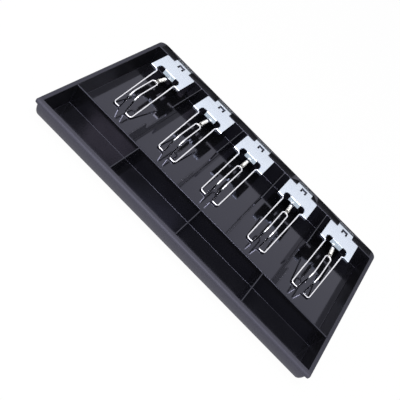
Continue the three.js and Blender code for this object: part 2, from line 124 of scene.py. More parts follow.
# Bracket sizes
SHEET = 1.0
CLEARANCE = 0.3
PLATE_HALF = 24.7
PLATE_REACH = 29.0
SHOULDER_SETBACK = 2.5
EAR_LENGTH = 12.9
NOTCH_INNER = 8.6
NOTCH_OUTER = 16.4
NOTCH_ROUND = 3.7
PLATE_ROUND = 1.5
LIP_DROP = 3.4
CHEEK_LENGTH = 10.5
CHEEK_LAND = 1.1
TAB_HALF = 12.8
TAB_ROUND = 0.8
TAB_SETBACK = 4.6
TAB_BEND = 6.0
TAB_ROLL = 2.7
TAB_FALL = 0.55
TAB_FALL_START = 11.9
HOOK_REACH = 5.0
HOOK_GAP = 0.7
SLOT_FRONT = 2.4
SLOT_BACK = 0.9
BARB_SLOT_HALF = 4.8
BARB_SLOT_LENGTH = 6.3
BARB_SLOT_PAST_TIP = 2.8
BARB_HALF = 2.3
BARB_DROP = 2.4
BARB_TIP = 1.4
FLAP_LEAN = 2.5
FLAP_DROP = 5.7
FLAP_BEND = 0.9
FOLD = 1.0
LUG_HALF = 2.5
LUG_LAND = 1.2
LUG_HOLE = 1.15
PIVOT_HOLE = 1.4
EDGE_BREAK = 0.22

# Worked-out bracket places
SHEET_Z = RIM_Z + CLEARANCE + SHEET / 2
PLATE_FRONT = BACK_INNER - PLATE_REACH
SHOULDER_Y = BACK_INNER - SHOULDER_SETBACK
EAR_FRONT = PLATE_FRONT - EAR_LENGTH
TAB_LEG_Y = BACK_Y - TAB_SETBACK
LUG_Y = PLATE_FRONT - FLAP_LEAN
FLAP_FOOT = SHEET_Z + SHEET / 2 - FLAP_DROP
LUG_FOOT = ANCHOR_Z - LUG_LAND / 2
CHEEK_FOOT = PIVOT_Z - PIVOT_HOLE - CHEEK_LAND

# Wire clip sizes, with the knee and the hairpin's end back from the clip's front and up from the floor
WIRE = 2.2
PIVOT_HALF = 14.9
PIVOT_STUB = 5.5
CLIP_REACH = 76.5
CLIP_FRONT_HALF = 14.3
CLIP_INNER_HALF = 4.6
HAIRPIN_HALF = 4.1
KNEE = (7.05, 26.6)
HAIRPIN_END = (50.5, 28.5)
WIRE_BENDS = (2.2, 3.2, 2.4, 12.0, 4.1)
CLIP_FRONT = PIVOT_Y - CLIP_REACH
CLIP_FRONT_Z = FLOOR_Z + CLEARANCE + WIRE / 2
HAIRPIN_Y = CLIP_FRONT + HAIRPIN_END[0]
HAIRPIN_Z = FLOOR_Z + HAIRPIN_END[1] + WIRE / 2

# Extension spring sizes, with the first and last angle of the hook and of the eye in degrees
SPRING_WIRE = 0.8
SPRING_OUTER = 5.2
SPRING_CURLS = 24
SPRING_REAR_NECK = 4.2
SPRING_FRONT_NECK = 3.2
SPRING_EYE_PLAY = 0.9
REAR_HOOK_TURN = (-90, -315)
FRONT_EYE_TURN = (135, -90)


# Small helpers

def linear(hex_colour):
    """Linear RGBA of an sRGB hex value."""
    channels = [int(hex_colour[i:i + 2], 16) / 255 for i in (1, 3, 5)]
    return [c / 12.92 if c <= 0.04045 else ((c + 0.055) / 1.055) ** 2.4 for c in channels] + [1.0]


def add(tree, kind, inputs=None, **settings):
    """Adds a node to a tree with its settings, and its inputs as values or as links from other sockets."""
    made = tree.nodes.new(kind)
    for key, value in settings.items():
        setattr(made, key, value)
    for socket, value in (inputs or {}).items():
        if isinstance(value, bpy.types.NodeSocket):
            tree.links.new(value, made.inputs[socket])
        else:
            made.inputs[socket].default_value = value
    return made


def arc(centre, radius, start, end, steps):
    """Points of an arc in a plane, angles in degrees."""
    angles = [math.radians(start + (end - start) * k / steps) for k in range(steps + 1)]
    return [(centre[0] + radius * math.cos(a), centre[1] + radius * math.sin(a)) for a in angles]


def bent(corners, radii, steps):
    """Points of a line through corners, with its inner corners bent to the radii."""
    corners = [Vector(c) for c in corners]
    points = [corners[0]]
    for before, corner, after, radius in zip(corners, corners[1:], corners[2:], radii):
        back = (before - corner).normalized()
        ahead = (after - corner).normalized()
        half = back.angle(ahead) / 2
        middle = (back + ahead).normalized()
        centre = corner + middle * (radius / math.sin(half))
        start = corner + back * (radius / math.tan(half)) - centre
        side = (start - middle * start.dot(middle)).normalized()
        sweep = math.pi / 2 - half
        for k in range(steps + 1):
            angle = sweep * (1 - 2 * k / steps)
            points.append(centre + (side * math.sin(angle) - middle * math.cos(angle)) * radius)
    return points + [corners[-1]]


def new_object(name, data, material):
    made = bpy.data.objects.new(name, data)
    bpy.context.scene.collection.objects.link(made)
    if material:
        data.materials.append(material)
    return made


def mesh_object(name, bm, material, sharp_angle=35):
    """A finished mesh from bmesh work in millimetres, smooth but for its sharp edges."""
    bmesh.ops.scale(bm, vec=(MM, MM, MM), verts=bm.verts)
    data = bpy.data.meshes.new(name)
    bm.to_mesh(data)
    bm.free()
    data.shade_smooth()
    data.set_sharp_from_angle(angle=math.radians(sharp_angle))
    return new_object(name, data, material)


def settle(piece):
    """Replaces a piece's modifiers by the mesh that they make."""
    graph = bpy.context.evaluated_depsgraph_get()
    data = bpy.data.meshes.new_from_object(piece.evaluated_get(graph))
    data.name = piece.name
    name, old = piece.name, piece.data
    if piece.type == "MESH":
        piece.modifiers.clear()
        piece.data = data
        bpy.data.meshes.remove(old)
        return piece
    bpy.data.objects.remove(piece)
    return new_object(name, data, None)


def weigh_normals(piece):
    piece.modifiers.new("flat faces stay flat", "WEIGHTED_NORMAL").keep_sharp = True


# Materials

def material_with(name):
    """A new material, its tree and its shader."""
    material = bpy.data.materials.new(name)
    material.use_nodes = True
    tree = material.node_tree
    return material, tree, tree.nodes["Principled BSDF"]


def per_mm(size):
    """Noise scale for features of about a size in millimetres, on Object coordinates in metres."""
    return 1 / (size * MM)


def grain_and_sheen_shares(tree, place):
    """Where the mould is grained, as shares of one: the lip, the lip and side rims, and the end walls. The
    lip and side rims also take a painted sheen.
    """
    axes = add(tree, "ShaderNodeSeparateXYZ", {0: place}).outputs
    aside = add(tree, "ShaderNodeMath", {0: axes["X"]}, operation="ABSOLUTE").outputs[0]
    rim_start = (INSIDE_TOP + EDGE_ROUND) * MM
    lip_start = (COIN_FRONT - EDGE_ROUND) * MM
    end_start = (INSIDE_HALF - CORNER) * MM
    on_rim = add(tree, "ShaderNodeMath", {0: aside, 1: rim_start}, operation="GREATER_THAN").outputs[0]
    on_lip = add(tree, "ShaderNodeMath", {0: axes["Y"], 1: lip_start}, operation="LESS_THAN").outputs[0]
    on_edge = add(tree, "ShaderNodeMath", {0: on_rim, 1: on_lip}, operation="MAXIMUM").outputs[0]
    on_end = add(tree, "ShaderNodeMath", {0: aside, 1: end_start}, operation="GREATER_THAN").outputs[0]
    return on_lip, on_edge, on_end


# Roughness of the tray: polished inside, a light grain on the end walls, and satin on the lip and side rims
POLISHED = (0.06, 0.11)
LIGHT_GRAIN = 0.3
SATIN = 0.58


def moulded_abs():
    """Injection-moulded black ABS: a dark mirror inside, duller end walls, and a satin lip and rims whose
    lighter grey base is painted sheen.

    Patches of haze about 22 mm wide and sink marks about 45 mm wide soften what it mirrors.
    """
    material, tree, shader = material_with("moulded_black_abs")
    place = add(tree, "ShaderNodeTexCoord").outputs["Object"]
    on_lip, on_edge, on_end = grain_and_sheen_shares(tree, place)
    haze = add(tree, "ShaderNodeTexNoise", {"Vector": place, "Scale": per_mm(22), "Detail": 4.0})
    shade = add(tree, "ShaderNodeMix", {"Factor": haze.outputs["Fac"]}, data_type="RGBA")
    shade.inputs["A"].default_value = linear("#0d0d0f")
    shade.inputs["B"].default_value = linear("#151518")
    # Painted sheen: the side rims get a greyer base than the inside, and the lip a greyer one still,
    # standing in for the light that their satin catches
    shade = add(tree, "ShaderNodeMix", {"Factor": on_edge, "A": shade.outputs["Result"]}, data_type="RGBA")
    shade.inputs["B"].default_value = linear("#222227")
    shade = add(tree, "ShaderNodeMix", {"Factor": on_lip, "A": shade.outputs["Result"]}, data_type="RGBA")
    shade.inputs["B"].default_value = linear("#302f35")
    gloss = add(tree, "ShaderNodeMapRange", {"Value": haze.outputs["Fac"], "From Min": 0.3, "From Max": 0.7,
                                             "To Min": POLISHED[0], "To Max": POLISHED[1]})
    gloss = add(tree, "ShaderNodeMix", {"Factor": on_end, "A": gloss.outputs["Result"], "B": LIGHT_GRAIN})
    gloss = add(tree, "ShaderNodeMix", {"Factor": on_edge, "A": gloss.outputs["Result"], "B": SATIN})
    sink = add(tree, "ShaderNodeTexNoise", {"Vector": place, "Scale": per_mm(45), "Detail": 1.0})
    bump = add(tree, "ShaderNodeBump", {"Height": sink.outputs["Fac"], "Strength": 0.05,
                                        "Distance": 0.4 * MM})
    tree.links.new(shade.outputs["Result"], shader.inputs["Base Color"])
    tree.links.new(gloss.outputs["Result"], shader.inputs["Roughness"])
    tree.links.new(bump.outputs["Normal"], shader.inputs["Normal"])
    shader.inputs["IOR"].default_value = 1.62
    # Painted reflection tint: a lilac cast on everything the plastic mirrors, standing in for bluish studio
    # light
    shader.inputs["Specular Tint"].default_value = linear("#dcdcff")
    return material


def zinc_sheet():
    """Bright zinc plating on pressed sheet: bluish white, a little cloudy, with faint rolling lines.

    The plating's clouds are about 7 mm wide. Real rolling lines are too fine to show, so they are drawn
    about 0.6 mm apart.
    """
    material, tree, shader = material_with("bright_zinc_plated_sheet")
    place = add(tree, "ShaderNodeTexCoord").outputs["Object"]
    lines = add(tree, "ShaderNodeMapping", {"Vector": place, "Scale": (1.0, 14.0, 1.0)})
    roll = add(tree, "ShaderNodeTexNoise", {"Vector": lines.outputs["Vector"], "Scale": per_mm(9),
                                            "Detail": 3.0})
    cloud = add(tree, "ShaderNodeTexNoise", {"Vector": place, "Scale": per_mm(7), "Detail": 3.0})
    shade = add(tree, "ShaderNodeMix", {"Factor": cloud.outputs["Fac"]}, data_type="RGBA")
    shade.inputs["A"].default_value = linear("#e4edff")
    shade.inputs["B"].default_value = linear("#ecf4ff")
    gloss = add(tree, "ShaderNodeMapRange", {"Value": roll.outputs["Fac"], "To Min": 0.14, "To Max": 0.24})
    bump = add(tree, "ShaderNodeBump", {"Height": roll.outputs["Fac"], "Strength": 0.06,
                                        "Distance": 0.1 * MM})
    tree.links.new(shade.outputs["Result"], shader.inputs["Base Color"])
    tree.links.new(gloss.outputs["Result"], shader.inputs["Roughness"])
    tree.links.new(bump.outputs["Normal"], shader.inputs["Normal"])
    shader.inputs["Metallic"].default_value = 1.0
    return material


def nickel_wire():
    """Bright nickel plating on drawn round wire: a clear mirror, a little clouded by the plating.

    The real clouding is too fine to show, so it is drawn about 1.6 mm across.
    """
    material, tree, shader = material_with("bright_nickel_plated_wire")
    place = add(tree, "ShaderNodeTexCoord").outputs["Object"]
    marks = add(tree, "ShaderNodeTexNoise", {"Vector": place, "Scale": per_mm(1.6), "Detail": 3.0})
    shade = add(tree, "ShaderNodeMix", {"Factor": marks.outputs["Fac"]}, data_type="RGBA")
    shade.inputs["A"].default_value = linear("#ececf3")
    shade.inputs["B"].default_value = linear("#fafaff")
    gloss = add(tree, "ShaderNodeMapRange", {"Value": marks.outputs["Fac"], "To Min": 0.08, "To Max": 0.16})
    tree.links.new(shade.outputs["Result"], shader.inputs["Base Color"])
    tree.links.new(gloss.outputs["Result"], shader.inputs["Roughness"])
    shader.inputs["Metallic"].default_value = 1.0
    return material


def spring_steel():
    """Lightly plated spring wire: a warmer, softer grey than the clips.

    Its drawing marks are too fine to show, so they are drawn about 1.2 mm across.
    """
    material, tree, shader = material_with("plated_spring_wire")
    place = add(tree, "ShaderNodeTexCoord").outputs["Object"]
    marks = add(tree, "ShaderNodeTexNoise", {"Vector": place, "Scale": per_mm(1.2), "Detail": 3.0})
    shade = add(tree, "ShaderNodeMix", {"Factor": marks.outputs["Fac"]}, data_type="RGBA")
    shade.inputs["A"].default_value = linear("#cfcdc9")
    shade.inputs["B"].default_value = linear("#eeedea")
    gloss = add(tree, "ShaderNodeMapRange", {"Value": marks.outputs["Fac"], "To Min": 0.3, "To Max": 0.42})
    tree.links.new(shade.outputs["Result"], shader.inputs["Base Color"])
    tree.links.new(gloss.outputs["Result"], shader.inputs["Roughness"])
    shader.inputs["Metallic"].default_value = 1.0
    return material


# The tray

# Steps of a quarter turn in a corner, in a coin scoop and over a top edge, and steps along a side
ARC_STEPS = 6
SCOOP_STEPS = 18
ROUND_STEPS = 4
SIDE_STEPS = 8

# The front's curve from under the lip to the base: the angle where it starts, and its steps
FRONT_START = 3.0
FRONT_STEPS = 20


def pocket_path(front, back, scoop):
    """Side view of a compartment from its front top down, along the floor and up, with inward normals."""
    rows = [(front, RIM_Z, 1.0, 0.0)]
    for y, radius, start in ((front, scoop, 180), (back, HEEL, 270)):
        centre_y = y + radius if y == front else y - radius
        steps = SCOOP_STEPS if radius > HEEL else ARC_STEPS
        for angle in (math.radians(start + 90 * k / steps) for k in range(steps + 1)):
            point_y = centre_y + radius * math.cos(angle)
            point_z = FLOOR_Z + radius + radius * math.sin(angle)
            rows.append((point_y, point_z, -math.cos(angle), -math.sin(angle)))
    return rows + [(back, RIM_Z, -1.0, 0.0)]


def pocket(bm, x0, x1, path, tops, wall_tops, leans):
    """One compartment with rounded corners and a rounded top edge. Returns the chains of its top edge."""
    turns = [math.pi / 2 * k / ARC_STEPS for k in range(ARC_STEPS + 1)]
    columns = [(x0 + CORNER * (1 - math.cos(t)), CORNER * (1 - math.sin(t)), -math.cos(t)) for t in turns]
    columns += [(x1 - (x - x0), inset, -out) for x, inset, out in reversed(columns)]
    blend = [math.sin(t) ** 2 for t in turns]

    def top_heights(end):
        left = [tops["left"] + (tops[end] - tops["left"]) * share for share in blend]
        right = [tops["right"] + (tops[end] - tops["right"]) * share for share in reversed(blend)]
        return left + right

    last = len(path) - 1
    rows = []
    for j, (y, z, normal_y, normal_z) in enumerate(path):
        heights = top_heights("front" if j == 0 else "back")
        row = []
        for (x, inset, _), top in zip(columns, heights):
            height = top - EDGE_ROUND if j in (0, last) else z + normal_z * inset
            lean = -leans[0] if x < (x0 + x1) / 2 else leans[1]
            spread = lean * (height - FLOOR_Z) / (RIM_Z - FLOOR_Z)
            row.append(bm.verts.new((x + spread, y + normal_y * inset, height)))
        rows.append(row)
    for low, high in zip(rows, rows[1:]):
        for i in range(len(columns) - 1):
            bm.faces.new((low[i], low[i + 1], high[i + 1], high[i]))

    edges = {side: [bm.verts.new((x, y, z - EDGE_ROUND)) for y, z in wall_tops[side]]
             for side, x in (("left", x0), ("right", x1))}
    bm.faces.new([row[0] for row in rows] + edges["left"][::-1])
    bm.faces.new([row[-1] for row in rows][::-1] + edges["right"])

    outs = [Vector((out, -math.sqrt(max(0.0, 1 - out * out)), 0)) for _, _, out in columns]
    back_outs = [Vector((out.x, -out.y, 0)) for out in outs]
    loop = list(zip(rows[0], outs))
    loop += [(v, Vector((1, 0, 0))) for v in edges["right"]]
    loop += list(zip(rows[-1], back_outs))[::-1]
    loop += [(v, Vector((-1, 0, 0))) for v in edges["left"][::-1]]
    ring = [v for v, _ in loop]
    for k in range(1, ROUND_STEPS + 1):
        angle = math.pi / 2 * k / ROUND_STEPS
        step_out = EDGE_ROUND * (1 - math.cos(angle))
        step_up = Vector((0, 0, EDGE_ROUND * math.sin(angle)))
        upper = [bm.verts.new(v.co + out * step_out + step_up) for v, out in loop]
        for i in range(len(ring)):
            n = (i + 1) % len(ring)
            bm.faces.new((ring[i], upper[i], upper[n], ring[n]))
        ring = upper

    wide = len(columns)
    half = wide // 2
    n_right = len(edges["right"])
    front = ring[:wide]
    right = ring[wide:wide + n_right]
    back = ring[wide + n_right:2 * wide + n_right]
    left = ring[2 * wide + n_right:]
    return {
        "left": front[:half][::-1] + left[::-1] + back[half:][::-1],
        "right": front[half:] + right + back[:half],
        "front": [front[half - 1], front[half]],
        "back": [back[half], back[half - 1]],
    }


def dip_line():
    """Top edge of a bill divider from front to back, with its dip."""
    back = BACK_INNER - DIP_FROM_BACK
    front = back - DIP_LENGTH
    bottom = DIVIDER_Z - DIP_DEPTH
    corners = [(CROSS_BACK + CORNER, DIVIDER_Z), (front, DIVIDER_Z), (front + DIP_FRONT_SLOPE, bottom),
               (back - DIP_BACK_SLOPE, bottom), (back, DIVIDER_Z), (BACK_INNER - CORNER, DIVIDER_Z)]
    points = bent([(0, y, z) for y, z in corners], DIP_ROUNDS, ARC_STEPS)
    return [(p.y, p.z) for p in points[1:-1]]


def pocket_row(bm, count, path, front_z, back_z, divider_tops):
    """A row of compartments between dividers, with the dividers' tops."""
    pitch = (2 * INSIDE_HALF + DIVIDER) / count
    row = []
    for i in range(count):
        x0 = i * pitch - INSIDE_HALF
        first, last = i == 0, i == count - 1
        tops = {"front": front_z, "back": back_z, "left": RIM_Z if first else DIVIDER_Z,
                "right": RIM_Z if last else DIVIDER_Z}
        walls = {"left": [] if first else divider_tops, "right": [] if last else divider_tops}
        leans = (END_LEAN if first else 0, END_LEAN if last else 0)
        row.append(pocket(bm, x0, x0 + pitch - DIVIDER, path, tops, walls, leans))
    for one, other in zip(row, row[1:]):
        for k in range(len(one["right"]) - 1):
            bm.faces.new((one["right"][k], other["left"][k], other["left"][k + 1], one["right"][k + 1]))
    return row


# Where the back rim's skirt begins along a side, and half the width of its step, as shares of that side
STEP_SHARE = 0.982
STEP_SLIT = 0.0004


def outline(half, front, back, front_radius, back_radius):
    """Points round a rounded rectangle, counter-clockwise, each with its normal's Y and its skirt mark."""
    points = []

    def side(start, end, normal_y, shares, skirted):
        for share in shares:
            x, y = (a + (b - a) * share for a, b in zip(start, end))
            points.append((x, y, normal_y, skirted(share)))

    def corner(centre, radius, start, skirted):
        for x, y in arc(centre, radius, start, start + 90, 2 * ARC_STEPS):
            points.append((x, y, (y - centre[1]) / radius, skirted))

    even = [k / SIDE_STEPS for k in range(1, SIDE_STEPS)]
    up = even + [STEP_SHARE - STEP_SLIT, STEP_SHARE + STEP_SLIT]
    down = [1 - share for share in reversed(up)]
    front_x, back_x = half - front_radius, half - back_radius
    front_y, back_y = front + front_radius, back - back_radius
    side((-front_x, front), (front_x, front), -1, even, lambda share: False)
    corner((front_x, front_y), front_radius, -90, False)
    side((half, front_y), (half, back_y), 0, up, lambda share: share > STEP_SHARE)
    corner((back_x, back_y), back_radius, 0, True)
    side((back_x, back), (-back_x, back), 1, even, lambda share: True)
    corner((-back_x, back_y), back_radius, 90, True)
    side((-half, back_y), (-half, front_y), 0, down, lambda share: share < 1 - STEP_SHARE)
    corner((-front_x, front_y), front_radius, 180, False)
    return points


def outer_rings():
    """Rings of the tray's outside from the rim's top, over its edge, under the flange and down the body."""
    rings = []

    def ring(shape, heights, by_mark=False):
        front_z, side_z, back_z = heights
        made = []
        for x, y, normal_y, skirted in outline(*shape):
            end_z = front_z if normal_y < 0 else back_z
            z = side_z + (end_z - side_z) * normal_y * normal_y
            if by_mark and skirted:
                z = back_z
            made.append((x, y, z))
        rings.append(made)

    band = RIM_INNER_BAND
    inner = CORNER + band
    ring((INSIDE_TOP + band, COIN_FRONT - band, BACK_INNER + band, inner, inner), (RIM_Z, RIM_Z, RIM_Z))
    for k in range(ROUND_STEPS + 1):
        angle = math.pi / 2 * k / ROUND_STEPS
        inset, drop = 1 - math.sin(angle), 1 - math.cos(angle)
        shape = (RIM_HALF - RIM_ROUND * inset, FRONT_Y + LIP_ROUND * inset, BACK_Y - BACK_ROUND * inset,
                 RIM_FRONT_CORNER - RIM_ROUND * inset, RIM_BACK_CORNER - RIM_ROUND * inset)
        back_top = RIM_Z - BACK_FALL
        ring(shape, (RIM_Z - LIP_ROUND * drop, RIM_Z - RIM_ROUND * drop, back_top - BACK_ROUND * drop))
    under_edge = ((0, SKIRT_Z), (SKIRT_THICKNESS, SKIRT_Z), (SKIRT_ROOT, UNDER_Z))
    for k, (inset, back_z) in enumerate(under_edge, 1):
        shape = (RIM_HALF - inset, FRONT_Y, BACK_Y - inset, RIM_FRONT_CORNER, RIM_BACK_CORNER - inset)
        ring(shape, (RIM_Z - LIP_ROUND - k * LIP_STEP, SIDE_Z, back_z), by_mark=True)
    for k in range(FRONT_STEPS + 1):
        angle = math.radians(FRONT_START + (90 - FRONT_START) * k / FRONT_STEPS)
        curve_z = FRONT_CURVE * (1 - math.sin(angle))
        z = curve_z if k else SIDE_Z
        back_z = curve_z if k else UNDER_Z
        low = max(0.0, BASE_ROUND - z)
        tuck = BASE_ROUND - math.sqrt(BASE_ROUND ** 2 - low ** 2)
        half = BODY_HALF - END_LEAN * (1 - z / RIM_Z) - tuck
        front = FRONT_Y + FRONT_CURVE * (1 - math.cos(angle))
        shape = (half, front, BACK_OUTER - tuck, BASE_ROUND, BASE_ROUND)
        ring(shape, (curve_z, z, back_z), by_mark=True)
    return rings


def tray_mesh():
    """The moulding without its tab slots: two rows of compartments, the rim round them and the outside."""
    bm = bmesh.new()
    coins = pocket_row(bm, COINS, pocket_path(COIN_FRONT, CROSS_FRONT, SCOOP), RIM_Z, DIVIDER_Z, [])
    bills = pocket_row(bm, BILLS, pocket_path(CROSS_BACK, BACK_INNER, HEEL), DIVIDER_Z, RIM_Z, dip_line())
    turn = ARC_STEPS + 1

    coin_back = [v for one in coins for v in one["back"]]
    bill_front = [v for one in bills for v in one["front"]]
    bm.faces.new(coin_back + bill_front[::-1])
    for side, coin, bill in (("left", coins[0], bills[0]), ("right", coins[-1], bills[-1])):
        near, far = coin[side][-turn:], bill[side][:turn][::-1]
        for k in range(ARC_STEPS):
            quad = (near[k], near[k + 1], far[k + 1], far[k])
            bm.faces.new(quad if side == "left" else quad[::-1])

    def wall_side(side, coin, bill):
        return coin[side][:1 - turn] + bill[side][turn - 1:]

    inner = [v for one in coins for v in one["front"]][:-1]
    inner += wall_side("right", coins[-1], bills[-1])
    inner += [v for one in bills[::-1] for v in one["back"][::-1]][1:-1]
    inner += wall_side("left", coins[0], bills[0])[::-1][:-1]

    rings = [[bm.verts.new(p) for p in ring] for ring in outer_rings()]
    for low, high in zip(rings, rings[1:]):
        for i in range(len(low)):
            n = (i + 1) % len(low)
            bm.faces.new((low[i], high[i], high[n], low[n]))
    bm.faces.new(rings[-1][::-1])

    bounds = []
    for loop in (inner, rings[0]):
        for i, v in enumerate(loop):
            pair = (v, loop[(i + 1) % len(loop)])
            bounds.append(bm.edges.get(pair) or bm.edges.new(pair))
    bmesh.ops.triangle_fill(bm, edges=bounds, use_beauty=True, normal=(0, 0, 1))
    bmesh.ops.recalc_face_normals(bm, faces=bm.faces)
    return bm


def slot_cutter():
    """Boxes where the brackets' tabs pass down through the back rim."""
    bm = bmesh.new()
    for x in CLIP_X:
        size = Vector((2 * (TAB_HALF + CLEARANCE), SLOT_FRONT + SLOT_BACK, 2 * RIM_THICKNESS))
        middle = Vector((x, TAB_LEG_Y + (SLOT_BACK - SLOT_FRONT) / 2, RIM_Z - RIM_THICKNESS / 2))
        bmesh.ops.create_cube(bm, matrix=Matrix.Translation(middle) @ Matrix.Diagonal((*size, 1)))
    return mesh_object("tab_slots", bm, None)


def make_tray(material):
    tray = mesh_object("moulded_tray", tray_mesh(), material)
    cutter = slot_cutter()
    slots = tray.modifiers.new("tab slots", "BOOLEAN")
    slots.operation = "DIFFERENCE"
    slots.solver = "EXACT"
    slots.object = cutter
    weigh_normals(tray)
    settle(tray)
    bpy.data.objects.remove(cutter)
    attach(tray, "tray_body")
    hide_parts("tray")


# The brackets

BEND_STEPS = 6
HOLE_SIDES = 16
HOLE_ANGLES = [2 * math.pi * k / HOLE_SIDES for k in range(HOLE_SIDES)]
HOLE_ROUND = [(math.sin(a), math.cos(a)) for a in HOLE_ANGLES]

# A bend is a hair smaller than its leg, and the leg past it a hair longer, so that no face turns over
BEND_SHARE = 0.999
LEG_SHARE = 1.01

# Points closer than this are one, in millimetres, and an edge sharper than this is sheared, in degrees
MERGE_DISTANCE = 0.01
SHEARED_ANGLE = 50


def fold(bm, edge, line):
    """A strip of sheet that leaves an edge and follows a line of offsets from the line's first point."""
    row = edge
    for step, before in zip(line[1:], line):
        move = Vector(step) - Vector(before)
        next_row = [bm.verts.new(v.co + move) for v in row]
        for i in range(len(row) - 1):
            bm.faces.new((row[i], row[i + 1], next_row[i + 1], next_row[i]))
        row = next_row
    return row


def holed(bm, left, right, ring):
    """Two flat faces that share a hole: each is bounded by half of the hole's ring."""
    half = len(ring) // 2
    bm.faces.new(left + ring[half:] + ring[:1])
    bm.faces.new(right + ring[:half + 1])


def bracket_mesh():
    """Middle surface of a bracket about X = 0: its plate with ears, lips, cheeks, flap, tab and barb."""
    bm = bmesh.new()
    seen = {}

    def at(x, y, z=SHEET_Z):
        key = (round(x, 4), round(y, 4), round(z, 4))
        if key not in seen:
            seen[key] = bm.verts.new(key)
        return seen[key]

    tab_end = BACK_Y - TAB_FALL_START - SHEET
    lean = math.atan2(FLAP_LEAN, SHEET_Z - FLAP_FOOT)
    flap_start = PLATE_FRONT + FLAP_BEND * math.tan((math.pi / 2 - lean) / 2)
    ear_end = EAR_FRONT + SHEET / 2 + FOLD
    cheek_x = NOTCH_OUTER + SHEET / 2
    cheek_edge = cheek_x + FOLD
    cheek_back = EAR_FRONT + CHEEK_LENGTH
    cheek_front = ear_end + SHEET / 2
    tip_y = BACK_INNER - CLEARANCE - SHEET / 2
    root_y = tip_y - BARB_SLOT_LENGTH
    slot_end = tip_y + BARB_SLOT_PAST_TIP

    notch_round = arc((NOTCH_OUTER - NOTCH_ROUND, flap_start - NOTCH_ROUND), NOTCH_ROUND, 90, 0, ARC_STEPS)
    corner = arc((PLATE_HALF - PLATE_ROUND, SHOULDER_Y - PLATE_ROUND), PLATE_ROUND, 0, 90, ARC_STEPS)
    waist = arc((TAB_HALF + TAB_ROUND, SHOULDER_Y + TAB_ROUND), TAB_ROUND, 270, 180, ARC_STEPS)
    right = [(0, flap_start), (LUG_HALF, flap_start), (NOTCH_INNER, flap_start), *notch_round,
             (NOTCH_OUTER, cheek_back), (cheek_edge, cheek_back), (cheek_edge, PIVOT_Y),
             (cheek_edge, cheek_front), (NOTCH_OUTER, cheek_front), (NOTCH_OUTER, ear_end),
             (PLATE_HALF, ear_end), *corner, *waist, (TAB_HALF, tab_end), (0, tab_end), (0, slot_end),
             (BARB_SLOT_HALF, slot_end), (BARB_SLOT_HALF, root_y), (BARB_HALF, root_y), (0, root_y)]
    bm.faces.new([at(x, y) for x, y in right])
    bm.faces.new([at(-x, y) for x, y in right][::-1])

    def side_line(*corners, radii):
        return [(0, p.y, p.z) for p in bent([(0, y, z) for y, z in corners], radii, BEND_STEPS)]

    hook_z = UNDER_Z - HOOK_GAP - SHEET / 2
    tab = side_line((tab_end, SHEET_Z), (tab_end + SHEET, SHEET_Z), (TAB_LEG_Y, SHEET_Z - TAB_FALL),
                    (TAB_LEG_Y, hook_z), (TAB_LEG_Y - HOOK_REACH, hook_z), radii=(TAB_BEND, TAB_ROLL, SHEET))
    fold(bm, [at(x, tab_end) for x in (TAB_HALF, 0, -TAB_HALF)], tab)
    barb = side_line((root_y, SHEET_Z), (tip_y - BARB_TIP, SHEET_Z), (tip_y, SHEET_Z - BARB_DROP),
                     radii=(SHEET,))
    fold(bm, [at(x, root_y) for x in (BARB_HALF, 0, -BARB_HALF)], barb)
    flap = side_line((flap_start, SHEET_Z), (PLATE_FRONT, SHEET_Z), (LUG_Y, FLAP_FOOT),
                     radii=(FLAP_BEND * BEND_SHARE,))
    flap_xs = (-NOTCH_INNER, -LUG_HALF, 0, LUG_HALF, NOTCH_INNER)
    foot = fold(bm, [at(x, flap_start) for x in flap_xs], flap)

    hole_z = LUG_FOOT + LUG_LAND + LUG_HOLE
    ring = [bm.verts.new((LUG_HOLE * across, LUG_Y, hole_z + LUG_HOLE * up)) for across, up in HOLE_ROUND]
    low = [bm.verts.new((x, LUG_Y, LUG_FOOT)) for x in (-LUG_HALF, 0, LUG_HALF)]
    holed(bm, [foot[2], foot[1], low[0], low[1]], [low[1], low[2], foot[3], foot[2]], ring)

    for sign in (-1, 1):
        lip = side_line((ear_end, SHEET_Z), (EAR_FRONT + SHEET / 2, SHEET_Z),
                        (EAR_FRONT + SHEET / 2, SHEET_Z + SHEET / 2 - LIP_DROP), radii=(FOLD * BEND_SHARE,))
        fold(bm, [at(sign * x, ear_end) for x in (NOTCH_OUTER, PLATE_HALF)][::sign], lip)
        corners = [(cheek_edge, 0, SHEET_Z), (cheek_x, 0, SHEET_Z), (cheek_x, 0, SHEET_Z - FOLD * LEG_SHARE)]
        line = [(sign * p.x, 0, p.z) for p in bent(corners, (FOLD * BEND_SHARE,), BEND_STEPS)]
        top = fold(bm, [at(sign * cheek_edge, y) for y in (cheek_back, PIVOT_Y, cheek_front)][::sign], line)
        if sign < 0:
            top = top[::-1]
        hole = [bm.verts.new((sign * cheek_x, PIVOT_Y + PIVOT_HOLE * across, PIVOT_Z + PIVOT_HOLE * up))
                for across, up in HOLE_ROUND]
        base = [bm.verts.new((sign * cheek_x, y, CHEEK_FOOT)) for y in (cheek_back, PIVOT_Y, cheek_front)]
        holed(bm, [top[1], top[2], base[2], base[1]], [base[1], base[0], top[0], top[1]], hole)
    bmesh.ops.remove_doubles(bm, verts=bm.verts, dist=MERGE_DISTANCE)
    bmesh.ops.recalc_face_normals(bm, faces=bm.faces)
    return bm


def make_brackets(material):
    for n, x in enumerate(CLIP_X, 1):
        bm = bracket_mesh()
        bmesh.ops.translate(bm, vec=(x, 0, 0), verts=bm.verts)
        piece = mesh_object(f"pressed_bracket_{n}", bm, material)
        solid = piece.modifiers.new("sheet thickness", "SOLIDIFY")
        solid.thickness = SHEET * MM
        solid.offset = 0
        solid.use_even_offset = True
        edge = piece.modifiers.new("sheared edges", "BEVEL")
        edge.width = EDGE_BREAK * MM
        edge.segments = 2
        edge.limit_method = "ANGLE"
        edge.angle_limit = math.radians(SHEARED_ANGLE)
        weigh_normals(piece)
        settle(piece)
        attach(piece, "tray_body")
        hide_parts(f"bracket_{n}")


# Bent wire: the clips and the springs

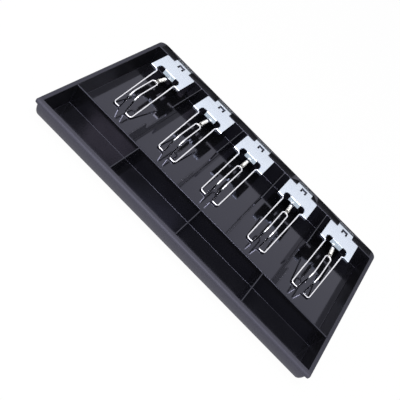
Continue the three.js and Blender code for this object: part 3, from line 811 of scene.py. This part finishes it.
# Sides of each section, steps of its bends, hooks and curls, and the angle past which an edge is sharp
WIRE_SIDES = 20
WIRE_BEND_STEPS = 8
WIRE_SHARP_ANGLE = 60
SPRING_SIDES = 10
HOOK_STEPS = 18
CURL_STEPS = 18


def round_wire_tree():
    """A round wire swept along a curve, with closed ends."""
    tree = bpy.data.node_groups.new("round_wire_along_a_path", "GeometryNodeTree")
    inputs = {"Path": "Geometry", "Wire Diameter": "Float", "Sides": "Int", "Finish": "Material"}
    for name, kind in inputs.items():
        tree.interface.new_socket(name, in_out="INPUT", socket_type=f"NodeSocket{kind}")
    tree.interface.new_socket("Wire", in_out="OUTPUT", socket_type="NodeSocketGeometry")
    given = add(tree, "NodeGroupInput").outputs
    radius = add(tree, "ShaderNodeMath", {0: given["Wire Diameter"], 1: 0.5}, operation="MULTIPLY")
    section = add(tree, "GeometryNodeCurvePrimitiveCircle", {"Resolution": given["Sides"],
                                                             "Radius": radius.outputs[0]})
    swept = add(tree, "GeometryNodeCurveToMesh", {"Curve": given["Path"], "Fill Caps": True,
                                                  "Profile Curve": section.outputs["Curve"]})
    real = add(tree, "GeometryNodeRealizeInstances", {"Geometry": swept.outputs["Mesh"]})
    done = add(tree, "GeometryNodeSetMaterial", {"Geometry": real.outputs["Geometry"],
                                                 "Material": given["Finish"]})
    add(tree, "NodeGroupOutput", {"Wire": done.outputs["Geometry"]})
    return tree


def swept_wire(name, tree, points, diameter, sides, material):
    """A mesh of round wire through points in millimetres."""
    data = bpy.data.curves.new(name, "CURVE")
    data.dimensions = "3D"
    spline = data.splines.new("POLY")
    spline.points.add(len(points) - 1)
    for slot, point in zip(spline.points, points):
        slot.co = (*(point * MM), 1)
    holder = new_object(name, data, None)
    swept = holder.modifiers.new("round wire", "NODES")
    values = {"Wire Diameter": diameter * MM, "Sides": sides, "Finish": material}
    keys = {item.name: item.identifier for item in tree.interface.items_tree if item.in_out == "INPUT"}
    swept.node_group = tree
    for key, value in values.items():
        swept[keys[key]] = value
    piece = settle(holder)
    piece.data.shade_smooth()
    piece.data.set_sharp_from_angle(angle=math.radians(WIRE_SHARP_ANGLE))
    return piece


def clip_points(x):
    """Path of a clip's wire: stub, leg, front bend and hairpin, and the same back on the other side."""
    half = [(PIVOT_HALF + PIVOT_STUB, PIVOT_Y, PIVOT_Z), (PIVOT_HALF, PIVOT_Y, PIVOT_Z),
            (CLIP_FRONT_HALF, CLIP_FRONT, CLIP_FRONT_Z), (CLIP_INNER_HALF, CLIP_FRONT, CLIP_FRONT_Z),
            (HAIRPIN_HALF, CLIP_FRONT + KNEE[0], FLOOR_Z + KNEE[1]),
            (HAIRPIN_HALF, HAIRPIN_Y, HAIRPIN_Z)]
    corners = [(x - aside, y, z) for aside, y, z in half]
    corners += [(x + aside, y, z) for aside, y, z in reversed(half)]
    return bent(corners, WIRE_BENDS + WIRE_BENDS[::-1], WIRE_BEND_STEPS)


def spring_points(x):
    """Path of a spring's wire: a hook round the lug's land, the coil, and a long eye round the hairpin."""
    anchor = Vector((x, ANCHOR_Y, ANCHOR_Z))
    pull = Vector((x, HAIRPIN_Y, HAIRPIN_Z)) - anchor
    length = pull.length
    along = pull.normalized()
    across = Vector((1, 0, 0))
    down = across.cross(along).normalized()
    coil = (SPRING_OUTER - SPRING_WIRE) / 2
    rear = math.hypot(LUG_LAND / 2, SHEET / 2) + CLEARANCE + SPRING_WIRE / 2
    front = WIRE / 2 + CLEARANCE + SPRING_WIRE / 2
    start = rear + SPRING_REAR_NECK
    end = length - SPRING_EYE_PLAY - front - SPRING_FRONT_NECK
    points = []

    def reach(forward, sideways, height):
        points.append(anchor + along * forward + across * sideways + down * height)

    def hook(centre, radius, play, first, last):
        for k in range(HOOK_STEPS + 1):
            angle = math.radians(first + (last - first) * k / HOOK_STEPS)
            shift = play if math.cos(angle) > 0 else -play
            reach(centre + shift + radius * math.cos(angle), 0, radius * math.sin(angle))

    reach(SPRING_WIRE, 0, -rear)
    hook(0, rear, 0, *REAR_HOOK_TURN)
    steps = SPRING_CURLS * CURL_STEPS
    for k in range(steps + 1):
        angle = 2 * math.pi * SPRING_CURLS * k / steps + math.pi / 2
        reach(start + (end - start) * k / steps, coil * math.cos(angle), coil * math.sin(angle))
    hook(length, front, SPRING_EYE_PLAY, *FRONT_EYE_TURN)
    reach(length - SPRING_EYE_PLAY - SPRING_WIRE, 0, -front)
    return points


def make_wires(bright, sprung):
    tree = round_wire_tree()
    for n, x in enumerate(CLIP_X, 1):
        clip = swept_wire(f"bent_wire_clip_{n}", tree, clip_points(x), WIRE, WIRE_SIDES, bright)
        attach(clip, f"clip_{n}")
        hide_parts(f"wire_clip_{n}")
        path = spring_points(x)
        spring = swept_wire(f"extension_spring_{n}", tree, path, SPRING_WIRE, SPRING_SIDES, sprung)
        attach(spring, f"tension_spring_{n}")
        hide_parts(f"spring_{n}")


# Stage, light and camera

def background_share(tree, in_mirrors=1.0):
    """How much of the white background a ray sees: all by camera or glass, a share in mirrors, else none."""
    path = add(tree, "ShaderNodeLightPath").outputs
    mirrored = add(tree, "ShaderNodeMath", {0: path["Is Glossy Ray"], 1: in_mirrors}, operation="MULTIPLY")
    direct = add(tree, "ShaderNodeMath", {0: path["Is Camera Ray"], 1: path["Is Transmission Ray"]},
                 operation="MAXIMUM")
    seen = add(tree, "ShaderNodeMath", {0: direct.outputs[0], 1: mirrored.outputs[0]}, operation="MAXIMUM")
    return seen.outputs[0]


def make_world(light_level=0.55):
    """White behind the part, and a dimmer white that lights it."""
    world = bpy.data.worlds.new("white_studio")
    bpy.context.scene.world = world
    world.use_nodes = True
    tree = world.node_tree
    level = add(tree, "ShaderNodeMapRange", {"Value": background_share(tree), "To Min": light_level,
                                             "To Max": 1.0})
    sky = tree.nodes["Background"]
    sky.inputs["Color"].default_value = linear("#ffffff")
    tree.links.new(level.outputs["Result"], sky.inputs["Strength"])


def make_floor(size=6.0, white_share=0.97, in_mirrors=0.75):
    """White paper, in metres: nearly pure white to the camera, faintly shadowed, and darker in mirrors."""
    material, tree, shader = material_with("white_paper_floor")
    shader.inputs["Base Color"].default_value = linear("#f4f4f4")
    shader.inputs["Roughness"].default_value = 0.9
    glow = add(tree, "ShaderNodeEmission", {"Color": linear("#ffffff"), "Strength": 1.0})
    share = add(tree, "ShaderNodeMath", {0: background_share(tree, in_mirrors), 1: white_share},
                operation="MULTIPLY")
    mixed = add(tree, "ShaderNodeMixShader", {0: share.outputs[0], 1: shader.outputs[0],
                                              2: glow.outputs[0]})
    tree.links.new(mixed.outputs[0], tree.nodes["Material Output"].inputs["Surface"])
    bm = bmesh.new()
    bmesh.ops.create_grid(bm, x_segments=1, y_segments=1, size=size / 2)
    data = bpy.data.meshes.new("floor")
    bm.to_mesh(data)
    bm.free()
    new_object("floor", data, material)


# Standing cards: tone, turn about Z in degrees, and distance, width and height in metres
CARDS = {
    "back_card": ("#38393b", 0, 0.9, 2.6, 0.5),
    "left_card": ("#3a3b3d", 90, 0.9, 1.4, 0.22),
    "right_card": ("#3a3b3d", -90, 0.9, 1.4, 0.22),
    "front_card": ("#bcc4c6", 180, 1.2, 2.4, 0.55),
}


def make_cards():
    """Grey cards round the part, which show only as reflections in its gloss, wire and plating."""
    for name, (tone, facing, distance, width, height) in CARDS.items():
        material, tree, _ = material_with(name)
        glow = add(tree, "ShaderNodeEmission", {"Color": linear(tone)})
        tree.links.new(glow.outputs[0], tree.nodes["Material Output"].inputs["Surface"])
        turn = Matrix.Rotation(math.radians(facing), 4, "Z")
        data = bpy.data.meshes.new(name)
        outline_xz = ((-width / 2, 0), (width / 2, 0), (width / 2, height), (-width / 2, height))
        data.from_pydata([turn @ Vector((x, distance, z)) for x, z in outline_xz], [], [(0, 1, 2, 3)])
        card = new_object(name, data, material)
        card.visible_camera = False
        card.visible_diffuse = False
        card.visible_shadow = False
        card.visible_transmission = False


def area_lamp(name, place, aim, size, power, tone="#ffffff"):
    """A rectangular lamp, with its place, aim and size in metres and its power in watts."""
    light = bpy.data.lights.new(name, "AREA")
    light.color = linear(tone)[:3]
    light.shape = "RECTANGLE"
    light.size, light.size_y = size
    light.energy = power
    lamp = new_object(name, light, None)
    lamp.location = place
    lamp.rotation_euler = (Vector(aim) - Vector(place)).to_track_quat("-Z", "Y").to_euler()


def make_lamps():
    """Soft light from above and both front corners, and a small warm lamp for the first coin scoop."""
    area_lamp("key_softbox", (-0.25, -0.5, 1.0), (0, 0, 0), (0.7, 0.7), 5.0)
    area_lamp("left_fill", (-0.85, -0.9, 0.5), (0, 0, 0), (0.4, 0.2), 1.8)
    area_lamp("right_fill", (0.85, -0.9, 0.5), (0, 0, 0), (0.4, 0.2), 1.8)
    area_lamp("top_softbox", (0.05, -0.4, 1.2), (0, 0, 0), (0.5, 0.3), 5.6)
    area_lamp("window_strip", (-0.40, -1.0, 0.89), (-0.13, -0.07, 0), (0.17, 0.13), 0.55, "#fff2df")


# Camera of the photograph, fitted to the rim, the dividers and the brackets
CAMERA_MM = (19.0, -578.1, 493.7)
CAMERA_ELEVATION = 38.76
CAMERA_YAW = 1.89
CAMERA_ROLL = 44.20
CAMERA_LENS = 56.34
CAMERA_SENSOR = 36.0
CAMERA_SHIFT = (-0.066, -0.0335)


def make_camera():
    """A camera set by its elevation, yaw and roll, with the picture shifted on its sensor."""
    rise, yaw, roll = (math.radians(a) for a in (CAMERA_ELEVATION, CAMERA_YAW, CAMERA_ROLL))
    back = Vector((math.sin(yaw) * math.cos(rise), -math.cos(yaw) * math.cos(rise), math.sin(rise)))
    right = Vector((math.cos(yaw), math.sin(yaw), 0))
    up = back.cross(right)
    across = right * math.cos(roll) + up * math.sin(roll)
    upward = up * math.cos(roll) - right * math.sin(roll)
    data = bpy.data.cameras.new("camera")
    data.lens = CAMERA_LENS
    data.sensor_width = CAMERA_SENSOR
    data.shift_x, data.shift_y = CAMERA_SHIFT
    camera = new_object("camera", data, None)
    turn = Matrix((across, upward, back)).transposed().to_4x4()
    camera.matrix_world = Matrix.Translation(Vector(CAMERA_MM) * MM) @ turn
    bpy.context.scene.camera = camera


bpy.context.scene.view_settings.view_transform = "Standard"
make_camera()
make_world()
make_floor()
make_cards()
make_lamps()
make_tray(moulded_abs())
make_brackets(zinc_sheet())
make_wires(nickel_wire(), spring_steel())
